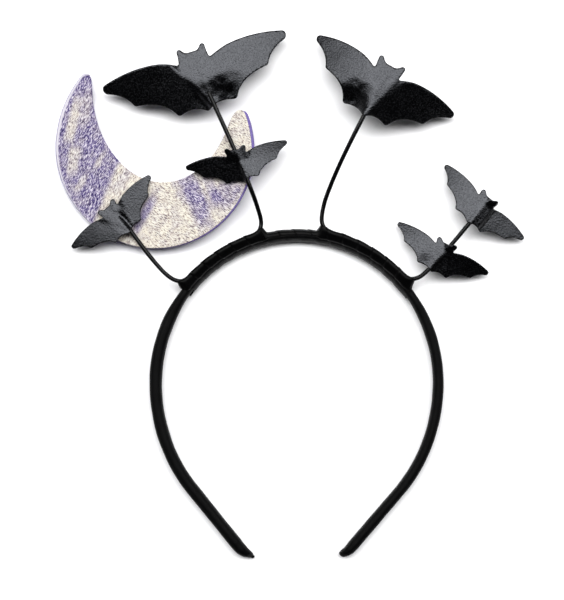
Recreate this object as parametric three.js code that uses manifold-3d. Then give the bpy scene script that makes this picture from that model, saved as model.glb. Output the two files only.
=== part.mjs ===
// A headband with six bats and a crescent moon on two bent wires, lying flat on a table.
// Millimetres. X runs to the right, Y from the band's tips to its crown, Z up from the table.
import * as THREE from "three";
import { mergeVertices } from "three/addons/utils/BufferGeometryUtils.js";
import Module from "manifold-3d";

const wasm = await Module();
wasm.setup();

// Clearance between neighbouring pieces
const seatGap = 0.3;

// Hoop, measured on the centreline of the band
const hoopHalfWidth = 63.2; // at its widest level
const hoopCrown = 66.0; // from the widest level up to the crown
const hoopLowerCurve = 70.5; // depth of the ellipse below the widest level
const limbLean = 39.7; // degrees that the straight limb ends lean inwards
const limbStraight = 39.0; // length of each straight limb end
const hoopTurn = -0.8; // degrees that the hoop is turned as it lies

// Band
const bandThickness = 4.8; // across, in the plane of the hoop
const bandHeight = 7.0; // up from the table
const leftFullness = 0.7; // added to the thickness of the left limb, where the cloth is looser
const fullnessRun = 14.0; // length over which the fullness and the lift come and go

// Wound ribbon
const wrapHalfLength = 58.8; // from the crown to each end, along the hoop
const ribbonWall = 0.45;
const windingSqueeze = 0.6; // how much thinner the padded band is under the ribbon
const turnPitch = 7.0; // advance of one turn
const turnStep = 0.2; // each turn stands this much proud of the one before
const sleeveShort = 1.4; // bare wire between the ribbon's sleeve and the foot of an upright
const tentSwell = 0.55; // extra radius of the ribbon where a wire leaves it

// Wires
const wireRadius = 0.975;
const wireTuck = 42; // degrees above level at which the wire sits on the band's outer corner
const footOut = 7.9; // from the hoop's centreline to the foot of an upright
const bowLean = 0.6; // below 1 puts the fullest bow of an upright nearer its foot

// Bats
const leatherThickness = 1.2;
const ridgeWall = 0.7; // leather round the wire
const ridgeClosing = 1.5; // solid leather past the end of a wire

// Moon
const moonRadius = 43.8;
const hollowHalfWidth = 33.2; // inner edge of the crescent, half an ellipse
const hollowDepth = 43.6;
const hollowAside = 3.7; // centre of that ellipse from the centre of the moon
const hollowUp = 29.2;
const foilThickness = 1.0;
const foamThickness = 2.0;
const foilShift = new THREE.Vector2(-1.2, 0.3); // the foil isn't stuck on square
const moonOverHead = 38.0; // centre of the moon above the hoop's crown
const moonAside = 63.5; // centre of the moon to the left of the hoop's middle

const up = new THREE.Vector3(0, 0, 1);
const radians = THREE.MathUtils.degToRad;

// Uprights. foot: place along the hoop from the crown. aim: direction in degrees from +X.
// reach: foot to the end of the wire. sway: sideways bow, + to the left of the aim.
// rise: height gained, all of it by riseBy, a share of the reach.
const uprights = {
  leftOuter: { foot: -57.6, aim: 129.2, reach: 42.3, sway: 1.5, rise: 0.0, riseBy: 1.0 },
  leftInner: { foot: -15.2, aim: 112.4, reach: 68.0, sway: -1.35, rise: 4.5, riseBy: 0.28 },
  rightInner: { foot: 8.8, aim: 66.3, reach: 68.4, sway: 2.5, rise: 8.0, riseBy: 0.7 },
  rightOuter: { foot: 54.7, aim: 48.3, reach: 43.9, sway: -1.0, rise: 1.8, riseBy: 1.0 },
};

// Bats. at: where the upright crosses the hem, as a share of its reach. aside: the wire from
// the bat's middle, + to its right. halfSpan: middle to wing tip. tipUp: hem to the wing tips.
// dropLeft, dropRight: how far the wing tips hang below the ridge.
const bats = {
  bat_large_left: {
    upright: "leftInner", through: false, at: 0.8, aside: 3.1, heading: 106.7,
    halfSpan: 42.8, tipUp: 22.7, dropLeft: 8.6, dropRight: 7.6,
  },
  bat_large_right: {
    upright: "rightInner", through: false, at: 0.71, aside: 0.2, heading: 60.9,
    halfSpan: 34.6, tipUp: 21.3, dropLeft: 12.2, dropRight: 13.0,
  },
  bat_small_left_inner: {
    upright: "leftInner", through: true, at: 0.28, aside: 1.9, heading: 104.2,
    halfSpan: 23.4, tipUp: 12.2, dropLeft: 1.8, dropRight: 5.0,
  },
  bat_small_left_outer: {
    upright: "leftOuter", through: false, at: 0.66, aside: 0.9, heading: 132.1,
    halfSpan: 23.8, tipUp: 13.0, dropLeft: 5.0, dropRight: 1.0,
  },
  bat_small_right_upper: {
    upright: "rightOuter", through: false, at: 0.73, aside: 1.3, heading: 46.6,
    halfSpan: 24.4, tipUp: 12.3, dropLeft: 6.4, dropRight: 6.8,
  },
  bat_small_right_lower: {
    upright: "rightOuter", through: true, at: 0.12, aside: -1.3, heading: 60.6,
    halfSpan: 23.4, tipUp: 12.0, dropLeft: 5.2, dropRight: 5.6,
  },
};

// How finely the shapes are faceted
const sectionStep = 5.0; // between the band's sections, along the hoop
const wireStep = 2.7; // between a wire's sections
const sleeveStep = 3.0; // between the sections of the ribbon round a wire
const ridgeStep = 5.0; // between the sections of the leather round a wire
const tubeSides = 8;
const outlineSteps = 3; // in each curved edge of a bat
const wingSteps = 6; // across both wings
const moonSegments = 11; // in each arc of the moon
const wireDivisions = 800; // for measuring along a wire
const weldDistance = 1e-4; // corners nearer than this are one

// Solids and meshes

function toSolid(geometry) {
  const bare = new THREE.BufferGeometry();
  bare.setAttribute("position", geometry.getAttribute("position"));
  bare.setIndex(geometry.index);
  const merged = mergeVertices(bare, weldDistance);
  return new wasm.Manifold(
    new wasm.Mesh({
      numProp: 3,
      vertProperties: new Float32Array(merged.attributes.position.array),
      triVerts: new Uint32Array(merged.index.array),
    }),
  );
}

function toGeometry(solid) {
  const mesh = solid.getMesh();
  const geometry = new THREE.BufferGeometry();
  geometry.setAttribute("position", new THREE.BufferAttribute(mesh.vertProperties, 3));
  geometry.setIndex(new THREE.BufferAttribute(mesh.triVerts, 1));
  geometry.computeVertexNormals();
  return geometry;
}

function namedMesh(name, geometry, material) {
  const mesh = new THREE.Mesh(geometry, material);
  mesh.name = name;
  return mesh;
}

// A closed skin through rings of points, each ring turning anticlockwise as seen from ahead.
function loft(rings) {
  const count = rings[0].length;
  const positions = rings.flat().flatMap((point) => point.toArray());
  const faces = [];
  for (let i = 0; i + 1 < rings.length; i++) {
    for (let j = 0; j < count; j++) {
      const a = i * count + j;
      const b = i * count + ((j + 1) % count);
      faces.push(a, b, a + count, b, b + count, a + count);
    }
  }
  const last = (rings.length - 1) * count;
  for (let j = 1; j + 1 < count; j++) {
    faces.push(0, j + 1, j);
    faces.push(last, last + j, last + j + 1);
  }
  const geometry = new THREE.BufferGeometry();
  geometry.setAttribute("position", new THREE.Float32BufferAttribute(positions, 3));
  geometry.setIndex(faces);
  return geometry;
}

// Hoop: where its centreline is, s along it from the crown, + to the right

const lowerSweep = Math.atan((Math.tan(radians(limbLean)) * hoopLowerCurve) / hoopHalfWidth);

function hoopCurve() {
  const lean = new THREE.Vector2(Math.sin(radians(limbLean)), Math.cos(radians(limbLean)));
  const bend = new THREE.Vector2(
    hoopHalfWidth * Math.cos(lowerSweep),
    -hoopLowerCurve * Math.sin(lowerSweep),
  );
  const tip = bend.clone().addScaledVector(lean, -limbStraight);
  const flip = (point) => new THREE.Vector2(-point.x, point.y);
  const curve = new THREE.CurvePath();
  const arc = (height, from, to) =>
    new THREE.EllipseCurve(0, 0, hoopHalfWidth, height, from, to, true);
  curve.add(new THREE.LineCurve(flip(tip), flip(bend)));
  curve.add(arc(hoopLowerCurve, Math.PI + lowerSweep, Math.PI));
  curve.add(arc(hoopCrown, Math.PI, 0));
  curve.add(arc(hoopLowerCurve, 0, -lowerSweep));
  curve.add(new THREE.LineCurve(bend, tip));
  return curve;
}

const hoop = hoopCurve();
const hoopHalfLength = hoop.getLength() / 2;

function hoopFrame(s) {
  const share = THREE.MathUtils.clamp(0.5 + s / (2 * hoopHalfLength), 0, 1);
  const point = hoop.getPointAt(share);
  const tangent = hoop.getTangentAt(share);
  const turned = (v) => new THREE.Vector3(v.x, v.y, 0).applyAxisAngle(up, radians(hoopTurn));
  const along = turned(tangent);
  return { point: turned(point), along, out: up.clone().cross(along) };
}

// Band

// Half of the band's section, from the table up: out and height as shares of its size.
const bandSection = [
  { out: 0.28, height: 0.0 },
  { out: 0.44, height: 0.09 },
  { out: 0.5, height: 0.28 },
  { out: 0.5, height: 0.66 },
  { out: 0.44, height: 0.88 },
  { out: 0.27, height: 1.0 },
];
const outerCorner = { out: 0.355, height: 0.94 }; // middle of the section's upper outer bevel

// How the tips close: distance from the tip as a share of the band's height.
const tipTaper = [
  { from: 0.0, thick: 0.3, high: 0.4 },
  { from: 0.1, thick: 0.58, high: 0.62 },
  { from: 0.35, thick: 0.8, high: 0.84 },
  { from: 1.0, thick: 1.0, high: 1.0 },
];

function taperAt(s) {
  const from = (hoopHalfLength - Math.abs(s)) / bandHeight;
  let row = 0;
  while (row + 2 < tipTaper.length && tipTaper[row + 1].from < from) row += 1;
  const [a, b] = [tipTaper[row], tipTaper[row + 1]];
  const share = THREE.MathUtils.clamp((from - a.from) / (b.from - a.from), 0, 1);
  return {
    thick: THREE.MathUtils.lerp(a.thick, b.thick, share),
    high: THREE.MathUtils.lerp(a.high, b.high, share),
  };
}

const wrapStand = ribbonWall + seatGap; // the wound stretch stands on its ribbon

function pastWrap(s) {
  return THREE.MathUtils.smoothstep(Math.abs(s) - wrapHalfLength, 0, fullnessRun);
}

function bandRing(s, grow) {
  const frame = hoopFrame(s);
  const taper = taperAt(s);
  const fullness = (s < 0 ? leftFullness : 0) * pastWrap(s) - windingSqueeze * (1 - pastWrap(s));
  const thick = (bandThickness + fullness) * taper.thick + 2 * grow;
  const high = bandHeight * taper.high + 2 * grow;
  const lift = wrapStand * (1 - pastWrap(s)) - grow;
  const point = (row, side) =>
    frame.point
      .clone()
      .addScaledVector(frame.out, side * row.out * thick)
      .addScaledVector(up, lift + row.height * high);
  const outer = bandSection.map((row) => point(row, 1));
  const inner = bandSection.map((row) => point(row, -1)).reverse();
  return [...outer, ...inner];
}

function bandStations() {
  const stations = [];
  const tips = tipTaper.slice(0, -1).map((row) => hoopHalfLength - row.from * bandHeight);
  const inner = hoopHalfLength - bandHeight;
  const steps = Math.ceil((2 * inner) / sectionStep);
  stations.push(...tips.map((s) => -s));
  for (let i = 0; i <= steps; i++) stations.push(-inner + (2 * inner * i) / steps);
  stations.push(...tips.reverse());
  return stations;
}

function headband() {
  return loft(bandStations().map((s) => bandRing(s, 0)));
}

// Wires

const woundThickness = bandThickness - windingSqueeze;
const wireSeat = wireRadius + seatGap;
const wireOut = outerCorner.out * woundThickness + wireSeat * Math.cos(radians(wireTuck));
const wireHeight = wrapStand + outerCorner.height * bandHeight + wireSeat * Math.sin(radians(wireTuck));

// The bend from the wound stretch out to an upright's foot: back along the hoop, as a share of
// footOut, and out, as a share of the way from the wire's bed to the foot.
const footBend = [
  { back: 0.72, out: 0.0 },
  { back: 0.38, out: 0.12 },
  { back: 0.12, out: 0.5 },
  { back: 0.0, out: 1.0 },
];

// Points along an upright, as shares of its reach.
const uprightShares = [0.1, 0.22, 0.36, 0.5, 0.64, 0.8, 1.0];

// inward is the way along the hoop from the foot to the wound stretch.
function uprightPoints(upright, inward) {
  const points = footBend.map((row) => {
    const frame = hoopFrame(upright.foot + inward * row.back * footOut);
    const out = THREE.MathUtils.lerp(wireOut, footOut, row.out);
    return frame.point.addScaledVector(frame.out, out).setZ(wireHeight);
  });
  const foot = points[points.length - 1];
  const aim = new THREE.Vector3(1, 0, 0).applyAxisAngle(up, radians(upright.aim));
  const left = up.clone().cross(aim);
  for (const share of uprightShares) {
    const bow = upright.sway * Math.sin(Math.PI * share ** bowLean);
    const rise = upright.rise * THREE.MathUtils.smoothstep(share, 0, upright.riseBy);
    points.push(
      foot
        .clone()
        .addScaledVector(aim, upright.reach * share)
        .addScaledVector(left, bow)
        .setZ(wireHeight + rise),
    );
  }
  return points;
}

function bedPoints(from, to) {
  const count = Math.max(2, Math.round((to - from) / turnPitch));
  const points = [];
  for (let i = 1; i < count; i++) {
    const frame = hoopFrame(THREE.MathUtils.lerp(from, to, i / count));
    points.push(frame.point.addScaledVector(frame.out, wireOut).setZ(wireHeight));
  }
  return points;
}

// One wire: up one upright from its end, along its bed under the ribbon, up the other.
function makeWire(leftName, rightName) {
  const left = uprights[leftName];
  const right = uprights[rightName];
  const lead = footBend[0].back * footOut;
  const leftPoints = uprightPoints(left, 1).reverse();
  const rightPoints = uprightPoints(right, -1);
  const bed = bedPoints(left.foot + lead, right.foot - lead);
  const curve = new THREE.CatmullRomCurve3([...leftPoints, ...bed, ...rightPoints]);
  curve.arcLengthDivisions = wireDivisions;
  return { curve, leftName, rightName, length: curve.getLength() };
}

const wires = {
  wire_left: makeWire("leftOuter", "leftInner"),
  wire_right: makeWire("rightInner", "rightOuter"),
};

// Where an upright's point at a share of its reach lies, as a share of its wire's length.
function shareOnWire(name, share) {
  const wire = Object.values(wires).find((w) => w.leftName === name || w.rightName === name);
  const upright = uprights[name];
  const inward = wire.leftName === name ? 1 : -1;
  const points = uprightPoints(upright, inward);
  const foot = points[footBend.length - 1];
  const end = points[points.length - 1];
  const target = foot.clone().lerp(end, share);
  const half = wire.leftName === name ? [0, 0.5] : [0.5, 1];
  let best = half[0];
  let nearest = Infinity;
  for (let i = 0; i <= wireDivisions; i++) {
    const u = THREE.MathUtils.lerp(half[0], half[1], i / wireDivisions);
    const point = wire.curve.getPointAt(u);
    const away = Math.hypot(point.x - target.x, point.y - target.y);
    if (away < nearest) {
      nearest = away;
      best = u;
    }
  }
  return { wire, u: best };
}

// Corners of a round section, as pairs to be multiplied by its radius.
const roundCorners = Array.from({ length: tubeSides }, (_, i) => {
  const angle = (2 * Math.PI * i) / tubeSides;
  return new THREE.Vector2(Math.cos(angle), Math.sin(angle));
});

function wireTube(wire, radius) {
  const section = new THREE.Shape(roundCorners.map((c) => c.clone().multiplyScalar(radius)));
  return new THREE.ExtrudeGeometry(section, {
    steps: Math.ceil(wire.length / wireStep),
    extrudePath: wire.curve,
    bevelEnabled: false,
  });
}

// The room that a wire needs, with flats no nearer than the gap and open past its two ends.
function wireRoom(wire) {
  return toSolid(wireTube(wire, (wireRadius + seatGap) / Math.cos(Math.PI / tubeSides)));
}

// A round loft along a stretch of wire, with its radius given at each distance from its start.
function tubeAlong(wire, from, to, step, radiusAt) {
  const long = Math.abs(to - from) * wire.length;
  const count = Math.max(2, Math.ceil(long / step));
  const points = [];
  for (let i = 0; i <= count; i++) {
    points.push(wire.curve.getPointAt(THREE.MathUtils.lerp(from, to, i / count)));
  }
  const stretch = new THREE.CatmullRomCurve3(points);
  const frames = stretch.computeFrenetFrames(count, false);
  const rings = points.map((point, i) => {
    const radius = radiusAt((i / count) * long);
    return roundCorners.map((corner) =>
      point
        .clone()
        .addScaledVector(frames.normals[i], radius * corner.x)
        .addScaledVector(frames.binormals[i], radius * corner.y),
    );
  });
  return loft(rings);
}

// Wound ribbon: a stepped sleeve round the band, with a sleeve round each wire's bed

const turnLap = 0.84; // share of a turn's pitch at which the next turn's edge lies on it
const sleeveThin = 0.4; // share of the ribbon's wall that it lacks at its sleeve's ends
const tent = { full: 0.35, fade: 0.5, gone: 1.1 }; // shares of footOut from a sleeve's end

function woundSleeve() {
  const turns = Math.round((2 * wrapHalfLength) / turnPitch);
  const pitch = (2 * wrapHalfLength) / turns;
  const rings = [];
  for (let i = 0; i < turns; i++) {
    const s = -wrapHalfLength + i * pitch;
    rings.push(bandRing(s, wrapStand + turnStep));
    rings.push(bandRing(s + turnLap * pitch, wrapStand));
  }
  rings.push(bandRing(wrapHalfLength, wrapStand));
  return loft(rings);
}

function bandRoom() {
  const reach = wrapHalfLength + turnPitch;
  const steps = Math.ceil((2 * reach) / sectionStep);
  const rings = [];
  for (let i = 0; i <= steps; i++) {
    rings.push(bandRing(-reach + (2 * reach * i) / steps, seatGap));
  }
  return loft(rings);
}

function wireSleeve(wire) {
  const bare = sleeveShort / wire.length;
  const from = shareOnWire(wire.leftName, 0).u + bare;
  const to = shareOnWire(wire.rightName, 0).u - bare;
  const long = (to - from) * wire.length;
  const wall = wireRadius + wrapStand;
  const radiusAt = (distance) => {
    const fromEnd = Math.min(distance, long - distance) / footOut;
    const swell = THREE.MathUtils.smoothstep(fromEnd, 0, tent.full);
    const fade = THREE.MathUtils.smoothstep(fromEnd, tent.fade, tent.gone);
    return wall - ribbonWall * sleeveThin * (1 - swell) + tentSwell * swell * (1 - fade);
  };
  return tubeAlong(wire, from, to, sleeveStep, radiusAt);
}

// Everything under the table's level is cut off, so the ribbon lies flat there.
function belowTable() {
  const size = 4 * hoopHalfWidth; // wider than the whole hoop
  const slab = new THREE.BoxGeometry(size, size, bandHeight);
  slab.translate(0, 0, -bandHeight / 2);
  return toSolid(slab);
}

function wrapRibbon() {
  let solid = toSolid(woundSleeve());
  for (const wire of Object.values(wires)) solid = solid.add(toSolid(wireSleeve(wire)));
  solid = solid.subtract(toSolid(bandRoom()));
  for (const wire of Object.values(wires)) solid = solid.subtract(wireRoom(wire));
  return toGeometry(solid.subtract(belowTable()));
}

// Bats

// Half of the bat's outline from the middle of the hem to the middle of the head. Each row is
// the end of one curved edge and the point that pulls it: across is a share of halfSpan, along
// a share of tipUp, the pull likewise.
const batHem = { across: 0.0, along: -0.02 };
const batOutline = [
  { pullAcross: 0.145, pullAlong: 0.17, across: 0.31, along: 0.05 },
  { pullAcross: 0.385, pullAlong: 0.4, across: 0.72, along: 0.51 },
  { pullAcross: 0.79, pullAlong: 0.89, across: 1.0, along: 1.0 },
  { pullAcross: 0.72, pullAlong: 1.22, across: 0.36, along: 1.09 },
  { pullAcross: 0.25, pullAlong: 1.03, across: 0.165, along: 0.95 },
  { pullAcross: 0.135, pullAlong: 1.1, across: 0.15, along: 1.28 },
  { pullAcross: 0.1, pullAlong: 1.19, across: 0.06, along: 1.14 },
];

function batShape(bat) {
  const at = (across, along) => new THREE.Vector2(across * bat.halfSpan, along * bat.tipUp);
  const half = new THREE.Path().moveTo(0, batHem.along * bat.tipUp);
  for (const row of batOutline) {
    const pull = at(row.pullAcross, row.pullAlong);
    const end = at(row.across, row.along);
    half.quadraticCurveTo(pull.x, pull.y, end.x, end.y);
  }
  const right = half.getPoints(outlineSteps);
  const left = right
    .slice(1)
    .map((point) => new THREE.Vector2(-point.x, point.y))
    .reverse();
  return new THREE.Shape([...right, ...left]);
}

const wingCurl = 0.4; // share of a wing's drop that is bent rather than straight
const blank = { before: 0.4, past: 1.6 }; // uncut leather from the hem, as shares of tipUp

// Height of the leather's middle at a place across the bat, below the ridge.
function wingDrop(bat, across) {
  const share = Math.abs(across) / bat.halfSpan;
  const drop = across < 0 ? bat.dropLeft : bat.dropRight;
  return drop * ((1 - wingCurl) * share + wingCurl * share ** 2);
}

function wingSheet(bat) {
  const reach = bat.halfSpan + leatherThickness;
  const across = Array.from(
    { length: wingSteps + 1 },
    (_, i) => reach * ((2 * i) / wingSteps - 1),
  );
  const edge = (side) =>
    across.map((x) => new THREE.Vector2(x, (side * leatherThickness) / 2 - wingDrop(bat, x)));
  const section = new THREE.Shape([...edge(-1), ...edge(1).reverse()]);
  const depth = (blank.before + blank.past) * bat.tipUp;
  const sheet = new THREE.ExtrudeGeometry(section, { depth, bevelEnabled: false });
  return sheet.rotateX(Math.PI / 2).translate(0, blank.past * bat.tipUp, 0);
}

// Where a bat sits: on its wire, aligned with the wire's slope and turned to its heading.
function batPlace(bat) {
  const { wire, u } = shareOnWire(bat.upright, bat.at);
  const point = wire.curve.getPointAt(u);
  const tangent = wire.curve.getTangentAt(u);
  const outward = wire.leftName === bat.upright ? -1 : 1;
  const slope = Math.atan2(outward * tangent.z, Math.hypot(tangent.x, tangent.y));
  const heading = radians(bat.heading);
  const right = new THREE.Vector3(Math.sin(heading), -Math.cos(heading), 0);
  const ahead = new THREE.Vector3(Math.cos(heading), Math.sin(heading), 0).applyAxisAngle(right, slope);
  const place = new THREE.Matrix4().makeBasis(right, ahead, right.clone().cross(ahead));
  place.setPosition(point.addScaledVector(right, -bat.aside));
  return { place, wire, u, outward };
}

const ridgeRadius = wireRadius + seatGap + ridgeWall;
const ridgeTaper = 0.62; // how far the leather narrows past the end of a wire
const lap = 0.03; // what is joined overlaps by this much

// A round piece on the free end of a bat's wire, from one distance past the end to another.
function pastEnd(seat, from, to, radiusFrom, radiusTo) {
  const end = seat.outward > 0 ? 1 : 0;
  const point = seat.wire.curve.getPointAt(end);
  const tangent = seat.wire.curve.getTangentAt(end).multiplyScalar(seat.outward);
  const piece = new THREE.CylinderGeometry(radiusTo, radiusFrom, to - from, tubeSides);
  piece.translate(0, (from + to) / 2, 0);
  const turn = new THREE.Quaternion().setFromUnitVectors(new THREE.Vector3(0, 1, 0), tangent);
  piece.applyQuaternion(turn);
  piece.translate(point.x, point.y, point.z);
  return toSolid(piece);
}

// Leather round the wire, from past the hem to past the head or to just past the wire's end.
function batRidge(bat, seat) {
  const shareOf = (distance) => (seat.outward * distance) / seat.wire.length;
  const from = seat.u - shareOf(blank.before * bat.tipUp);
  const end = seat.outward > 0 ? 1 : 0;
  const to = bat.through ? seat.u + shareOf(blank.past * bat.tipUp) : end;
  const tube = toSolid(tubeAlong(seat.wire, from, to, ridgeStep, () => ridgeRadius));
  if (bat.through) return tube;
  return tube.add(pastEnd(seat, -lap, ridgeClosing, ridgeRadius, ridgeTaper * ridgeRadius));
}

// The wire's room in a bat, run on past the wire's end by the gap.
function batRoom(bat, seat) {
  const room = wireRoom(seat.wire);
  if (bat.through) return room;
  const radius = wireRadius + seatGap;
  return room.add(pastEnd(seat, -lap, seatGap, radius, radius));
}

function makeBat(name) {
  const bat = bats[name];
  const seat = batPlace(bat);
  const inBat = seat.place.clone().invert();
  const tall = 2 * (bat.dropLeft + bat.dropRight + 2 * ridgeRadius);
  const prism = new THREE.ExtrudeGeometry(batShape(bat), { depth: tall, bevelEnabled: false });
  const outline = toSolid(prism.translate(0, 0, -tall / 2));
  const ridge = batRidge(bat, seat).transform(inBat.toArray());
  const room = batRoom(bat, seat).transform(inBat.toArray());
  const leather = toSolid(wingSheet(bat)).add(ridge).intersect(outline).subtract(room);
  return { geometry: toGeometry(leather), place: seat.place };
}

// Moon

// The horns' round ends. The outer arc stops at these angles, in degrees, and the hollow at
// these heights. Each row is the end of one curved edge and the point that pulls it. All but
// the angles are shares of the moon's radius.
const rightHornStop = 15;
const rightHollowStop = 0.27;
const rightHorn = [
  { pullX: 0.955, pullY: 0.31, x: 0.935, y: 0.356 },
  { pullX: 0.915, pullY: 0.4, x: 0.87, y: 0.389 },
];
const rightHornInside = { pullX: 0.82, pullY: 0.37 };
const leftHornStop = 168;
const leftHollowStop = 0.548;
const leftHorn = [
  { pullX: -0.672, pullY: 0.63, x: -0.665, y: 0.715 },
  { pullX: -0.675, pullY: 0.775, x: -0.72, y: 0.77 },
  { pullX: -0.745, pullY: 0.765, x: -0.79, y: 0.69 },
];
const leftHornOutside = { pullX: -0.935, pullY: 0.47 };

function hollowAngle(height, side) {
  const rise = THREE.MathUtils.clamp((height * moonRadius - hollowUp) / hollowDepth, -1, 1);
  return Math.atan2(rise, side * Math.sqrt(1 - rise ** 2));
}

function moonShape() {
  const shape = new THREE.Shape();
  const edge = (pull, x, y) =>
    shape.quadraticCurveTo(pull.pullX * moonRadius, pull.pullY * moonRadius, x, y);
  const hollowStart = hollowAngle(rightHollowStop, 1);
  const fullTurn = 360;
  shape.absarc(0, 0, moonRadius, radians(leftHornStop), radians(rightHornStop + fullTurn), false);
  for (const row of rightHorn) edge(row, row.x * moonRadius, row.y * moonRadius);
  edge(
    rightHornInside,
    hollowAside + hollowHalfWidth * Math.cos(hollowStart),
    hollowUp + hollowDepth * Math.sin(hollowStart),
  );
  shape.absellipse(
    hollowAside, hollowUp, hollowHalfWidth, hollowDepth,
    hollowStart, hollowAngle(leftHollowStop, -1), true, 0,
  );
  for (const row of leftHorn) edge(row, row.x * moonRadius, row.y * moonRadius);
  const start = radians(leftHornStop);
  edge(leftHornOutside, moonRadius * Math.cos(start), moonRadius * Math.sin(start));
  return shape;
}

function moonLayer(thickness) {
  const sheet = new THREE.ExtrudeGeometry(moonShape(), {
    depth: thickness, bevelEnabled: false, curveSegments: moonSegments,
  });
  return toGeometry(toSolid(sheet));
}

// The moon lies with its left rim on the table and its face against the ridge of the outer bat.
function moonGroup(materials) {
  const stack = foamThickness + seatGap + foilThickness;
  const bat = bats.bat_small_left_outer;
  const seat = batPlace(bat);
  const hem = seat.wire.curve.getPointAt(seat.u);
  const centre = hoopFrame(0).point.add(new THREE.Vector3(-moonAside, moonOverHead, 0));
  const under = hem.z - ridgeRadius - seatGap;
  const fromRim = hem.x - (centre.x - moonRadius);
  const tilt = Math.atan((under - stack) / fromRim);
  const group = new THREE.Group();
  group.position.set(centre.x, centre.y, moonRadius * Math.sin(tilt));
  group.rotation.y = -tilt;
  const foam = namedMesh("moon_backing", moonLayer(foamThickness), materials.foam);
  const foil = namedMesh("moon_face", moonLayer(foilThickness), materials.foil);
  foil.position.set(foilShift.x, foilShift.y, foamThickness + seatGap);
  group.add(foam, foil);
  return group;
}

// Materials

const materials = {
  satin: new THREE.MeshStandardMaterial({ color: 0x141416, roughness: 0.62, metalness: 0 }),
  ribbon: new THREE.MeshStandardMaterial({ color: 0x101012, roughness: 0.5, metalness: 0 }),
  lacquer: new THREE.MeshStandardMaterial({ color: 0x0c0c0e, roughness: 0.35, metalness: 0.2 }),
  leather: new THREE.MeshStandardMaterial({ color: 0x17171a, roughness: 0.45, metalness: 0 }),
  foil: new THREE.MeshStandardMaterial({ color: 0xbdb3d6, roughness: 0.3, metalness: 0.6 }),
  foam: new THREE.MeshStandardMaterial({ color: 0x8d7fc8, roughness: 0.85, metalness: 0 }),
};

function assemble() {
  const lying = new THREE.Group();
  lying.add(namedMesh("headband", toGeometry(toSolid(headband())), materials.satin));
  lying.add(namedMesh("wrap_ribbon", wrapRibbon(), materials.ribbon));
  for (const [name, wire] of Object.entries(wires)) {
    lying.add(namedMesh(name, toGeometry(toSolid(wireTube(wire, wireRadius))), materials.lacquer));
  }
  for (const name of Object.keys(bats)) {
    const { geometry, place } = makeBat(name);
    const mesh = namedMesh(name, geometry, materials.leather);
    mesh.applyMatrix4(place);
    lying.add(mesh);
  }
  lying.add(moonGroup(materials));
  return lying;
}

// The origin is under the middle of the whole headpiece, on the table.
const lying = assemble();
const box = new THREE.Box3().setFromObject(lying, true);
const middle = box.getCenter(new THREE.Vector3());
lying.position.set(-middle.x, -middle.y, -box.min.z);

const headpiece = new THREE.Group();
headpiece.add(lying);

export default headpiece;
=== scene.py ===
import math

import bpy
import numpy as np
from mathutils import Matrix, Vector, geometry, noise


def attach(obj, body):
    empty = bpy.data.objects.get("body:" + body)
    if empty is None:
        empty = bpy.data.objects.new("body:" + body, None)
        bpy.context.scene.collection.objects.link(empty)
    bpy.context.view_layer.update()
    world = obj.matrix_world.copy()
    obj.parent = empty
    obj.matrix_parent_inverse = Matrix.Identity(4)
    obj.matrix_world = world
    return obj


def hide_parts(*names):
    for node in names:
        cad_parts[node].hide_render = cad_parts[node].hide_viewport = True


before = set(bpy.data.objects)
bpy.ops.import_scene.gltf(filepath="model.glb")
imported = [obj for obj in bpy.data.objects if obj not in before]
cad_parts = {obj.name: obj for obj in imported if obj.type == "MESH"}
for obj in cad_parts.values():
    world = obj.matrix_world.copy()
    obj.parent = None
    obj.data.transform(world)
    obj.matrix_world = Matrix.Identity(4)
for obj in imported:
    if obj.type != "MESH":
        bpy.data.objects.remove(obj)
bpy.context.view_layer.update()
print("frame loaded")

# Sizes are millimetres from the middle of the hoop. They become metres on the table only
# when a mesh is made.
perMetre = 1000.0
hoopPlace = np.array([2.949, -38.481, 0.0])  # the hoop's middle, from the headpiece's origin


def smoothStep(x, low, high):
    t = np.clip((np.asarray(x, float) - low) / (high - low), 0, 1)
    return t * t * (3 - 2 * t)


def mix(a, b, share):
    return a + (b - a) * share


def bell(x, width):
    return np.exp(-((x / width) ** 2))


def ripple(points, size, seed):  # soft noise, about -1 to 1
    shift = Vector((seed * 7.3, seed * 3.1, seed * 5.7))
    return np.array([noise.noise(Vector(p) / size + shift) for p in points])


def gridFaces(rows, columns, closed=False):  # closed rows run round
    faces = []
    for i in range(rows - 1):
        for j in range(columns if closed else columns - 1):
            k, m = i + 1, (j + 1) % columns
            faces.append((i * columns + j, k * columns + j, k * columns + m, i * columns + m))
    return faces


def lengthsAlong(points):  # how far each point is from the first, along the line
    return np.concatenate([[0], np.cumsum(np.linalg.norm(np.diff(points, axis=0), axis=1))])


def pointsAt(places, gone, points):
    return np.stack([np.interp(places, gone, points[:, k]) for k in (0, 1)], -1)


def addObject(name, data):
    thing = bpy.data.objects.new(name, data)
    bpy.context.scene.collection.objects.link(thing)
    return thing


def makePiece(name, points, faces, material):
    mesh = bpy.data.meshes.new(name)
    mesh.from_pydata(((np.asarray(points) + hoopPlace) / perMetre).tolist(), [], faces)
    mesh.polygons.foreach_set("use_smooth", [True] * len(mesh.polygons))
    mesh.materials.append(material)
    return addObject(name, mesh)


def addUv(piece, uv):  # one pair a point, in millimetres
    layer = piece.data.uv_layers.new(name="cloth")
    corners = np.zeros(len(piece.data.loops), int)
    piece.data.loops.foreach_get("vertex_index", corners)
    layer.data.foreach_set("uv", np.asarray(uv, np.float32)[corners].ravel())


def settle(piece):  # modifiers become plain mesh
    graph = bpy.context.evaluated_depsgraph_get()
    mesh = bpy.data.meshes.new_from_object(piece.evaluated_get(graph))
    piece.modifiers.clear()
    piece.data = mesh
    mesh.polygons.foreach_set("use_smooth", [True] * len(mesh.polygons))
    return piece


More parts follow.
